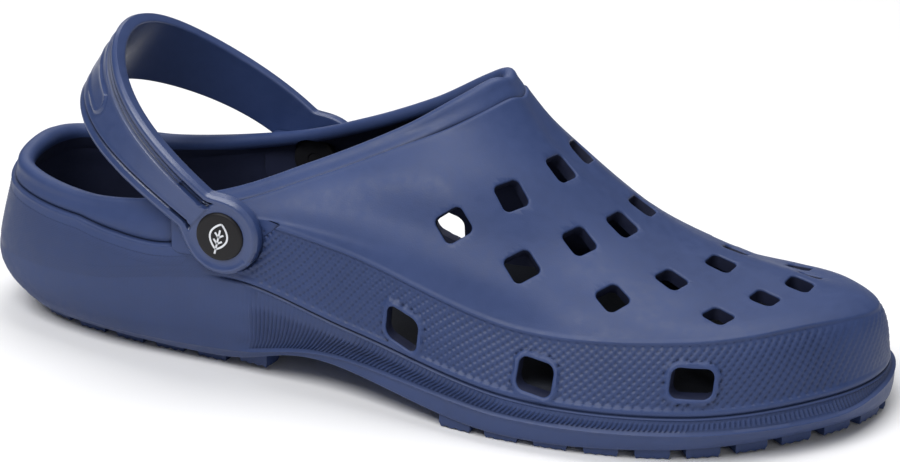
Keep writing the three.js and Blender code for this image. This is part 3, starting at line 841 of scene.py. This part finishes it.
# ---- The heel strap ----
STRAP_ALONG = np.array([math.cos(STRAP_ANGLE), 0, math.sin(STRAP_ANGLE)])
STRAP_FRONT = np.array([math.sin(STRAP_ANGLE), 0, -math.cos(STRAP_ANGLE)])
STRAP_HALF_SPAN = PAD_HALF_SPAN + GAP + STRAP_THICKNESS / 2
STRAP_LEAD = 20  # how far the middle line goes on past each rivet


def strap_line():
    """Points and distances along the strap's middle line: arm, half an ellipse, arm."""
    theta = np.linspace(-math.pi / 2, math.pi / 2, 3001)
    arc = np.stack([STRAP_STRAIGHT + (STRAP_REACH - STRAP_STRAIGHT) * np.cos(theta),
                    STRAP_HALF_SPAN * np.sin(theta)], 1)
    line = np.concatenate([[[-STRAP_LEAD, -STRAP_HALF_SPAN]], arc, [[-STRAP_LEAD, STRAP_HALF_SPAN]]])
    return line, running_length(line) - STRAP_LEAD


STRAP_POINTS, STRAP_RUN = strap_line()
STRAP_LENGTH = STRAP_RUN[-1] - STRAP_LEAD


def strap_point(s, w, h):
    """Position from the distance along the strap, across it and out of its middle surface."""
    behind, here, ahead = [along_line(s + offset, STRAP_RUN, STRAP_POINTS) for offset in (-0.3, 0, 0.3)]
    tangent = unit(ahead - behind)
    far = np.clip(here[..., 0] / STRAP_REACH, 0, None) ** 2
    along = here[..., 0] + tangent[..., 1] * h + w * STRAP_TILT * far
    front = w + STRAP_DROOP * far + STRAP_BOW * 4 * far * (1 - far)
    across = STRAP_MIDDLE_Y + here[..., 1] - tangent[..., 0] * h
    flat = np.ones(across.shape)
    base = np.stack([PIVOT_X * flat, across, PIVOT_Z * flat], -1)
    return base + along[..., None] * STRAP_ALONG + front[..., None] * STRAP_FRONT


def strap_half_width(s):
    near = np.minimum(s, STRAP_LENGTH - s)
    away = np.interp(s, STRAP_RUN, STRAP_POINTS[:, 0])
    arm = (STRAP_ARM + (STRAP_LOOP - STRAP_ARM) * np.clip(away / STRAP_REACH, 0, 1) ** 2) / 2
    arm = arm * smooth(-6, 2, near)
    lobe = np.sqrt(np.maximum(LOBE_RADIUS ** 2 - np.minimum(near, LOBE_RADIUS) ** 2, 0))
    soft = 4.5 * smooth(0, 6, near) + 1e-3
    share = np.clip(0.5 + 0.5 * (lobe - arm) / soft, 0, 1)
    return arm + (lobe - arm) * share + soft * share * (1 - share)


FRONT_BAND, FRONT_PANEL = 2.9, 4.9
REAR_BAND, REAR_PANEL = 3.3, 4.3
PANEL_END = 8.7
BEVEL_DEPTH, BEVEL_WIDTH = 0.9, 1.4
LINE_DEPTH, POCKET_DEPTH, PANEL_LIFT = 0.75, 0.8, 0.3
OVAL_LENGTH, OVAL_WIDTH = 34, 4.2
STRAP_SHARP_EDGE = math.radians(40)
UNDER_ROUND = 0.7


def strap_relief(s, front_gap, rear_gap):
    """Height of the strap's outer face above its nominal one, from the distances to its two edges."""
    near = np.minimum(s, STRAP_LENGTH - s)
    edge = np.minimum(front_gap, rear_gap)
    out = -BEVEL_DEPTH * (1 - np.clip(edge / BEVEL_WIDTH, 0, 1)) ** 1.6
    ring = 0.32 * bump(edge - 1.5, 0.75) - 0.25 * smooth(1.8, 4.4, edge)
    arms = 0.22 * bump(edge - 1.4, 0.7)
    front = -LINE_DEPTH * bump(front_gap - FRONT_BAND - 0.3, 0.38)
    front = front - 0.6 * bump(front_gap - FRONT_PANEL + 0.45, 0.36)
    front = front + 0.1 * bump(front_gap - FRONT_BAND - 0.95, 0.35)
    rear = -LINE_DEPTH * bump(rear_gap - REAR_BAND - 0.4, 0.4)
    panel = band(front_gap, FRONT_PANEL, 99, 0.25) * band(rear_gap, REAR_PANEL, 99, 0.25)
    rim = panel * (bump(front_gap - FRONT_PANEL - 0.45, 0.4) + bump(rear_gap - REAR_PANEL - 0.45, 0.4))
    arms = arms + front + rear + PANEL_LIFT * panel + 0.12 * rim
    front_pocket = band(front_gap, FRONT_BAND - 0.1, FRONT_PANEL - 0.1, 0.3) * band(near, 5, 20, 0.5)
    rear_pocket = band(rear_gap, REAR_BAND - 0.2, REAR_PANEL - 0.05, 0.3) * band(near, 5, 17, 0.5)
    arms = arms - POCKET_DEPTH * np.maximum(front_pocket, rear_pocket)
    in_ring = 1 - smooth(PANEL_END - 0.25, PANEL_END + 0.25, near)
    side = smooth(PANEL_END - 1.5, PANEL_END + 2.5, near)
    ring_share = np.where(edge < 3, 1 - side, in_ring)
    out = out + ring * ring_share + arms * (1 - ring_share)
    # The raised oval at the back of the loop
    middle = (rear_gap - REAR_PANEL - (front_gap - FRONT_PANEL)) / 2
    reach = np.maximum(np.abs(s - STRAP_LENGTH / 2) - (OVAL_LENGTH - OVAL_WIDTH), 0)
    radius = np.hypot(reach, middle)
    out = out + 0.5 * bump(radius - OVAL_WIDTH + 0.6, 0.5) - 0.25 * bump(radius - OVAL_WIDTH - 0.5, 0.5)
    return out + 0.15 * (1 - smooth(OVAL_WIDTH - 1.6, OVAL_WIDTH - 0.8, radius))


def strap():
    """The strap without its two bores and the caps' recesses, which the caps and the pads cover."""
    theta = np.linspace(0.1, math.pi / 2, 22)
    lobe = -LOBE_RADIUS * np.cos(theta)
    middle = np.linspace(0, STRAP_LENGTH, 440)[1:-1]
    s = np.concatenate([lobe, middle, STRAP_LENGTH - lobe[::-1]])
    half = strap_half_width(s)
    # Columns from the front edge to the rear one, closest where the face has detail
    fixed = [0, 0.12, 0.35, 0.7, 1.1, 1.5, 1.9, 2.35, 2.75, 3.0, 3.2, 3.45, 3.8, 4.15, 4.45, 4.7, 4.95, 5.3]
    fixed_rear = [0, 0.12, 0.35, 0.7, 1.1, 1.5, 1.9, 2.4, 2.9, 3.3, 3.6, 3.85, 4.15, 4.45, 4.9]
    whole = fixed[-1] + fixed_rear[-1]
    middle_shares = np.linspace(0, 1, 18)[1:-1]
    rows = []
    for width in 2 * half:
        scale = min(1, 0.8 * width / whole)
        front = np.array(fixed) * scale
        rear = np.array(fixed_rear) * scale
        inner = front[-1] + (width - front[-1] - rear[-1]) * middle_shares
        rows.append(np.concatenate([front, inner, (width - rear)[::-1]]))
    from_front = np.array(rows)
    w = half[:, None] - from_front
    s_table = np.repeat(s[:, None], w.shape[1], 1)
    # True distances to the two edges
    outline_front = np.stack([s, half], 1)
    outline_rear = np.stack([s, -half], 1)

    def gap_to(outline):
        gaps = np.empty(w.shape)
        for k in range(len(s)):
            low, high = max(0, k - 60), min(len(s), k + 61)
            dx = s[k] - outline[low:high, 0][None, :]
            dy = w[k][:, None] - outline[low:high, 1][None, :]
            gaps[k] = np.sqrt((dx ** 2 + dy ** 2).min(axis=1))
        return gaps

    front_gap, rear_gap = gap_to(outline_front), gap_to(outline_rear)
    top = STRAP_THICKNESS / 2 + strap_relief(s_table, front_gap, rear_gap)
    edge = np.minimum(front_gap, rear_gap)
    from_edge = 1 - np.clip(edge / UNDER_ROUND, 0, 1)
    under = -STRAP_THICKNESS / 2 + UNDER_ROUND * (1 - np.sqrt(np.clip(1 - from_edge ** 2, 0, 1)))
    count = w.shape[1]
    outer = strap_point(s_table, w, top)
    inner = strap_point(s_table, w, under)
    net = Net()
    rings = []
    for k in range(len(s)):
        rings.append(net.ring(np.concatenate([outer[k], inner[k][::-1]])))
    net.skin(rings)
    for ring, flip in ((rings[0], False), (rings[-1], True)):
        for k in range(count - 1):
            face = [int(ring[c]) for c in (k, k + 1, 2 * count - 2 - k, 2 * count - 1 - k)]
            net.faces.append(face[::-1] if flip else face)
    piece = net.build("strap_moulding")
    flip_if_inside_out(piece)
    shade(piece.data, STRAP_SHARP_EDGE)
    return piece


def flip_if_inside_out(piece):
    work = bmesh.new()
    work.from_mesh(piece.data)
    if work.calc_volume(signed=True) < 0:
        bmesh.ops.reverse_faces(work, faces=work.faces)
    work.to_mesh(piece.data)
    work.free()


# ---- Insole and rivets ----
SPINE_BACK, SPINE_FRONT = 36, 258
# Rows from the insole's upper edge to its middle: share of the way, and height over the flat top
INSOLE_CROWN = [(0, -1.6), (0.006, -0.7), (0.02, -0.15), (0.045, 0.15), (0.09, 0.05), (0.16, -0.25),
                (0.26, -0.5), (0.4, -0.6), (0.55, -0.6), (0.7, -0.6), (0.84, -0.6), (0.94, -0.6)]


def insole():
    turns = TURNS[::2]
    inset = FOOTBED_INSET + INSOLE_SIDE_GAP
    low = footbed_outline(turns, inset, INSOLE_LIFT)
    high = footbed_outline(turns, inset, INSOLE_LIFT + INSOLE_THICKNESS)
    middle = spine(high, SPINE_BACK, SPINE_FRONT)
    net = Net()
    inmost = spine(low, SPINE_BACK, SPINE_FRONT) * [1, 1, 0] + [0, 0, 1] * low
    rings = [net.ring(low + (inmost - low) * 0.9)]
    for share in (0.6, 0.25, 0.03):
        target = middle.copy()
        target[:, 2] = footbed_height(target[:, 0]) + INSOLE_LIFT
        rings.append(net.ring(low + (target - low) * share))
    rings.append(net.ring(low + [0, 0, 0.5]))
    top_z = INSOLE_LIFT + INSOLE_THICKNESS
    for share, lift in INSOLE_CROWN:
        target = middle.copy()
        target[:, 2] = footbed_height(target[:, 0]) + top_z
        ring = high + (target - high) * share
        ring[:, 2] = footbed_height(ring[:, 0]) + top_z + lift
        rings.append(net.ring(ring))
    net.close(rings[0], up=False)
    net.skin(rings)
    net.close(rings[-1], up=True)
    piece = net.build("insole_sheet")
    flip_if_inside_out(piece)
    return piece


def turned(name, profile, side, segments=96, sharp=math.radians(40)):
    """A piece turned about the rivets' axis from points of radius and distance outwards."""
    angles = np.arange(segments) * 2 * math.pi / segments
    net = Net()
    rings = []
    for radius, out in profile:
        y = STRAP_MIDDLE_Y + side * out
        if radius == 0:
            rings.append(int(net.ring([[PIVOT_X, y, PIVOT_Z]])[0]))
        else:
            rings.append(net.ring(np.stack([PIVOT_X + radius * np.cos(angles), np.full(segments, y),
                                            PIVOT_Z + radius * np.sin(angles)], 1)))
    for low, high in zip(rings, rings[1:]):
        if isinstance(low, int) or isinstance(high, int):
            tip, ring = (low, high) if isinstance(low, int) else (high, low)
            for k in range(segments):
                pair = [int(ring[k]), int(ring[(k + 1) % segments])]
                net.faces.append([tip] + (pair[::-1] if isinstance(low, int) else pair))
        else:
            net.strip(low, high)
    piece = net.build(name, sharp=sharp)
    flip_if_inside_out(piece)
    return piece


CAP_SEAT = PAD_HALF_SPAN + GAP + STRAP_THICKNESS - CAP_SINK + GAP
POST_END = PAD_HALF_SPAN - BOSS_DEPTH - BACK_THICKNESS / 2


def rivet_head(name, side):
    top = CAP_SEAT + CAP_THICKNESS
    profile = [(0, POST_END), (POST_RADIUS - 0.5, POST_END), (POST_RADIUS, POST_END + 0.5),
               (POST_RADIUS, CAP_SEAT), (CAP_RADIUS - 0.15, CAP_SEAT), (CAP_RADIUS, CAP_SEAT + 0.15),
               (CAP_RADIUS, top - 1.15)]
    profile += [(CAP_RADIUS - 1.0 + math.cos(t), top - 1.1 + 0.95 * math.sin(t))
                for t in np.linspace(0.15, math.pi / 2, 8)]
    profile += [(CAP_RADIUS - 1.5, top - 0.14), (CAP_RADIUS - 2.1, top - 0.11), (4, top - 0.04),
                (2, top), (0, top)]
    return turned(name, profile, side)


def rivet_back(name, side):
    seat = PAD_HALF_SPAN - BOSS_DEPTH - GAP
    socket = POST_END - GAP
    low = seat - BACK_THICKNESS
    profile = [(0, low + 0.35), (2.2, low + 0.35), (2.5, low + 0.05), (3.1, low), (BACK_RADIUS - 1.2, low)]
    profile += [(BACK_RADIUS - 1 + math.sin(t), low + 1 - math.cos(t))
                for t in np.linspace(0.2, math.pi / 2, 7)]
    profile += [(BACK_RADIUS, seat), (POST_RADIUS + GAP, seat), (POST_RADIUS + GAP, socket), (0, socket)]
    return turned(name, profile, side)


LEAF_LOW, LEAF_LENGTH, LEAF_HALF_WIDTH = -4.0, 8.6, 2.9
LEAF_TURN, LINE_HALF_WIDTH = math.radians(-14), 0.3


def cap_mark(name, side):
    """A plain leaf on the cap: an outline, a stem and veins, as a thin raised print."""
    level = CAP_SEAT + CAP_THICKNESS + 0.02
    lines = []
    t = np.linspace(0, 1, 25)
    along = LEAF_LOW + LEAF_LENGTH * t
    bulge = LEAF_HALF_WIDTH * np.sin(np.pi * t) ** 0.8
    lines.append(np.stack([bulge, along], 1))
    lines.append(np.stack([-bulge, along], 1))
    lines.append(np.array([[0, -5.6], [0, -4], [0, -2], [0, 0], [0, 2.6]]))
    for y in (-2.2, 0.0):
        lines.append(np.array([[0, y], [0.7, y + 0.7], [1.45, y + 1.3]]))
        lines.append(np.array([[0, y], [-0.7, y + 0.7], [-1.45, y + 1.3]]))
    net = Net()
    for line in lines:
        direction = unit(np.gradient(line, axis=0))
        across = np.stack([-direction[:, 1], direction[:, 0]], 1) * LINE_HALF_WIDTH
        rings = []
        for point, offset in zip(line, across):
            corners = []
            for wide, out in ((-1, -0.2), (1, -0.2), (1, 0.06), (-1, 0.06)):
                x, z = rotated((point + offset * wide)[None], LEAF_TURN)[0]
                corners.append([PIVOT_X + x, STRAP_MIDDLE_Y + side * (level + out), PIVOT_Z + z])
            rings.append(net.ring(corners))
        net.skin(rings)
        net.faces.append([int(v) for v in rings[0]][::-1])
        net.faces.append([int(v) for v in rings[-1]])
    piece = net.build(name, sharp=math.radians(30))
    work = bmesh.new()
    work.from_mesh(piece.data)
    bmesh.ops.recalc_face_normals(work, faces=work.faces)
    work.to_mesh(piece.data)
    work.free()
    return piece


# ---- Materials ----
class Nodes:
    def __init__(self, name):
        self.material = bpy.data.materials.new(name)
        self.material.use_nodes = True
        self.tree = self.material.node_tree
        self.shader = self.tree.nodes["Principled BSDF"]
        self.coords = self.tree.nodes.new("ShaderNodeTexCoord").outputs["Object"]

    def put(self, value, socket):
        if isinstance(value, bpy.types.NodeSocket):
            self.tree.links.new(value, socket)
        else:
            socket.default_value = value

    def add(self, kind, **inputs):
        node = self.tree.nodes.new("ShaderNode" + kind)
        for name, value in inputs.items():
            self.put(value, node.inputs[name.replace("_", " ")])
        return node

    def noise(self, scale, detail=3, roughness=0.55):
        return self.add("TexNoise", Scale=scale, Detail=detail, Roughness=roughness,
                        Vector=self.coords).outputs["Fac"]

    def ramp(self, source, stops):
        node = self.add("ValToRGB", Fac=source)
        elements = node.color_ramp.elements
        while len(elements) < len(stops):
            elements.new(0.5)
        for element, (place_at, colour) in zip(elements, stops):
            element.position = place_at
            element.color = (*colour, 1)
        return node.outputs["Color"]

    def mix(self, share, first, second):
        node = self.add("Mix", Factor=share)
        node.data_type = "RGBA"
        self.put(first, node.inputs[6])
        self.put(second, node.inputs[7])
        return node.outputs[2]

    def spread(self, source, low, high, from_low=0.3, from_high=0.7):
        return self.add("MapRange", Value=source, From_Min=from_low, From_Max=from_high,
                        To_Min=low, To_Max=high).outputs["Result"]

    def bump(self, height, distance, strength, **after):
        node = self.add("Bump", Strength=strength, Distance=distance, Height=height, **after)
        return node.outputs["Normal"]

    def hollows(self, distance, low, high):
        """How open the surface is: 0 in narrow hollows of about this depth and 1 where it is free."""
        node = self.add("AmbientOcclusion", Distance=distance)
        node.samples = 8
        node.only_local = True
        return self.spread(node.outputs["AO"], 0, 1, low, high)

    def finish(self, colour, roughness, normal, **fixed):
        for name, value in dict(fixed, Base_Color=colour, Roughness=roughness, Normal=normal).items():
            self.put(value, self.shader.inputs[name.replace("_", " ")])
        return self.material


HOLLOW_SHADE, HOLLOW_DEPTH = 0.34, 0.0018


def foam_material(name, dark, light, gloss_low, gloss_high, specular=0.4):
    nodes = Nodes(name)
    cloud = nodes.noise(28, 4)
    mottle = nodes.noise(320, 3)
    grain = nodes.noise(2600, 2, 0.6)
    base = nodes.ramp(cloud, [(0.3, dark), (0.7, light)])
    fleck_colour = (*[min(1, c * 1.35 + 0.002) for c in light], 1)
    fleck = nodes.mix(nodes.spread(mottle, 0, 0.16, 0.35, 0.7), base, fleck_colour)
    # Painted shade: creases, grooves and knurl pits go over to a darker navy where ambient occlusion finds
    # the surface closed in.
    hollow_shade_colour = (*[c * HOLLOW_SHADE for c in dark], 1)
    shaded = nodes.mix(nodes.hollows(HOLLOW_DEPTH, 0.4, 0.93), hollow_shade_colour, fleck)
    rough = nodes.spread(mottle, gloss_low, gloss_high)
    coarse = nodes.bump(mottle, 0.00012, 0.35)
    fine = nodes.bump(grain, 0.00006, 0.5, Normal=coarse)
    return nodes.finish(shaded, rough, fine, Specular_IOR_Level=specular)


# Painted shade: the insole's colour darkens from the heel towards the toe, where less light reaches under the
# vamp.
LINER_SHADE_FADE = (-0.07, -0.02)  # where along the part the insole goes over to its front colour, in metres
LINER_SHADED_FRONT = (0.014, 0.017, 0.027, 1)


def liner_material():
    nodes = Nodes("charcoal_liner")
    cloud = nodes.noise(22, 4)
    weave = nodes.noise(1500, 2, 0.6)
    base = nodes.ramp(cloud, [(0.3, (0.08, 0.092, 0.14)), (0.7, (0.11, 0.124, 0.18))])
    lint = nodes.mix(nodes.spread(weave, 0, 0.35), base, (0.16, 0.18, 0.24, 1))
    split = nodes.add("SeparateXYZ", Vector=nodes.coords)
    # The painted shade towards the toe.
    toe_shade = nodes.mix(nodes.spread(split.outputs["X"], 0, 1, *LINER_SHADE_FADE), lint, LINER_SHADED_FRONT)
    rough = nodes.spread(cloud, 0.72, 0.85)
    fine = nodes.bump(weave, 0.00018, 0.7)
    return nodes.finish(toe_shade, rough, fine, Specular_IOR_Level=0.35)


def plastic_material(name, dark, light, gloss_low, gloss_high):
    nodes = Nodes(name)
    cloud = nodes.noise(260, 3)
    grain = nodes.noise(3200, 2, 0.6)
    base = nodes.ramp(cloud, [(0.3, dark), (0.7, light)])
    rough = nodes.spread(cloud, gloss_low, gloss_high)
    fine = nodes.bump(grain, 0.00004, 0.5)
    return nodes.finish(base, rough, fine, Specular_IOR_Level=0.28)


NAVY_DARK, NAVY_LIGHT = (0.022, 0.041, 0.122), (0.029, 0.052, 0.15)
foam = foam_material("navy_foam", NAVY_DARK, NAVY_LIGHT, 0.46, 0.58)
# Painted shade: the inside of the clog and the deep walls of its openings and bosses get a darker copy of the
# navy foam than the outside.
shaded_inside_foam = foam_material("navy_foam_shaded_inside", (0.006, 0.009, 0.029), (0.0085, 0.0125, 0.04), 0.6, 0.75)
strap_foam = foam_material("navy_strap_foam", NAVY_DARK, NAVY_LIGHT, 0.3, 0.38, 0.6)
liner = liner_material()
cap_plastic = plastic_material("dark_plastic", (0.0055, 0.0052, 0.0065), (0.009, 0.0085, 0.0105), 0.42, 0.55)
back_plastic = plastic_material("dark_plastic_back", (0.004, 0.004, 0.0055), (0.006, 0.006, 0.008), 0.5, 0.65)
print_white = plastic_material("mark_print", (0.62, 0.64, 0.68), (0.72, 0.74, 0.78), 0.45, 0.6)


def dress(piece, materials, body, slot, *nodes):
    """Materials in the order of the material indices, then the body, the slot and the nodes it stands for.
    The slot is not used.
    """
    indices = [face.material_index for face in piece.data.polygons]
    piece.data.materials.clear()
    for material in materials:
        piece.data.materials.append(material)
    piece.data.polygons.foreach_set("material_index", indices)
    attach(piece, body)
    if nodes:
        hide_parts(*nodes)
    return piece


dress(shell(), [foam, shaded_inside_foam], "clog", "navy_foam", "clog_shell")
dress(strap(), [strap_foam], "strap", "navy_foam", "heel_strap")
sole_pad = dress(insole(), [liner], "clog", "charcoal_liner", "insole")
for side_name, side_sign in (("lateral", -1), ("medial", 1)):
    dress(rivet_head("cap_" + side_name, side_sign), [cap_plastic], "clog", "dark_plastic",
          "rivet_head_" + side_name)
    dress(rivet_back("snap_disc_" + side_name, side_sign), [back_plastic], "clog", "dark_plastic",
          "rivet_back_" + side_name)
    dress(cap_mark("cap_mark_" + side_name, side_sign), [print_white], "clog", "dark_plastic")


# ---- Floor, light and camera ----
def floor():
    mesh = bpy.data.meshes.new("floor")
    mesh.from_pydata([(-6, -6, 0), (6, -6, 0), (6, 6, 0), (-6, 6, 0)], [], [(0, 1, 2, 3)])
    piece = bpy.data.objects.new("floor", mesh)
    bpy.context.scene.collection.objects.link(piece)
    nodes = Nodes("floor")
    cloud = nodes.noise(3, 2)
    base = nodes.ramp(cloud, [(0.3, (0.86, 0.86, 0.87)), (0.7, (0.88, 0.88, 0.89))])
    normal = nodes.bump(cloud, 0.0001, 0.1)
    piece.data.materials.append(nodes.finish(base, 0.8, normal, Specular_IOR_Level=0.1))


def area_light(name, position, target, size, power):
    data = bpy.data.lights.new(name, "AREA")
    data.shape = "RECTANGLE"
    data.size, data.size_y = size
    data.energy = power
    lamp = bpy.data.objects.new(name, data)
    bpy.context.scene.collection.objects.link(lamp)
    lamp.location = position
    lamp.rotation_euler = (Vector(target) - Vector(position)).to_track_quat("-Z", "Y").to_euler()


floor()
# Name, position, the point looked at, size and power
LIGHTS = [
    ("key", (-0.25, -0.75, 1.15), (0, 0, 0.03), (0.9, 0.7), 15),
    ("fill_front", (0.95, -0.9, 0.6), (0.05, 0, 0.03), (0.9, 0.7), 2),
    ("top", (0.1, 0.35, 1.3), (0, 0, 0.03), (1.2, 0.9), 12),
    ("back", (-0.6, 0.9, 0.7), (0, 0, 0.05), (0.8, 0.5), 2),
]
for light in LIGHTS:
    area_light(*light)

WORLD_STRENGTH = 0.15
world = bpy.data.worlds.new("studio")
world.use_nodes = True
background = world.node_tree.nodes["Background"]
background.inputs["Color"].default_value = (1, 1, 1, 1)
background.inputs["Strength"].default_value = WORLD_STRENGTH
bpy.context.scene.world = world
bpy.context.scene.view_settings.view_transform = "Standard"

AZIMUTH, ELEVATION, ROLL = math.radians(19.6), math.radians(21.2), math.radians(1.14)
CAMERA_DISTANCE, CAMERA_TARGET = 0.8, [150, 0, 45]
SENSOR_WIDTH, FOCAL_LENGTH, LENS_SHIFT = 36, 100.84, (0.0178, -0.0033)
back = Vector((math.sin(AZIMUTH) * math.cos(ELEVATION), -math.cos(AZIMUTH) * math.cos(ELEVATION),
               math.sin(ELEVATION)))
right = Vector((math.cos(AZIMUTH), math.sin(AZIMUTH), 0))
upright = back.cross(right)
axis_x = right * math.cos(ROLL) + upright * math.sin(ROLL)
axis_y = upright * math.cos(ROLL) - right * math.sin(ROLL)
camera_data = bpy.data.cameras.new("camera")
camera_data.sensor_width = SENSOR_WIDTH
camera_data.lens = FOCAL_LENGTH
camera_data.shift_x, camera_data.shift_y = LENS_SHIFT
camera_data.clip_start = 0.01
camera = bpy.data.objects.new("camera", camera_data)
bpy.context.scene.collection.objects.link(camera)
looked_at = Vector(place(CAMERA_TARGET))
matrix = Matrix((axis_x, axis_y, back)).transposed().to_4x4()
matrix.translation = looked_at + back * CAMERA_DISTANCE
camera.matrix_world = matrix
bpy.context.scene.camera = camera
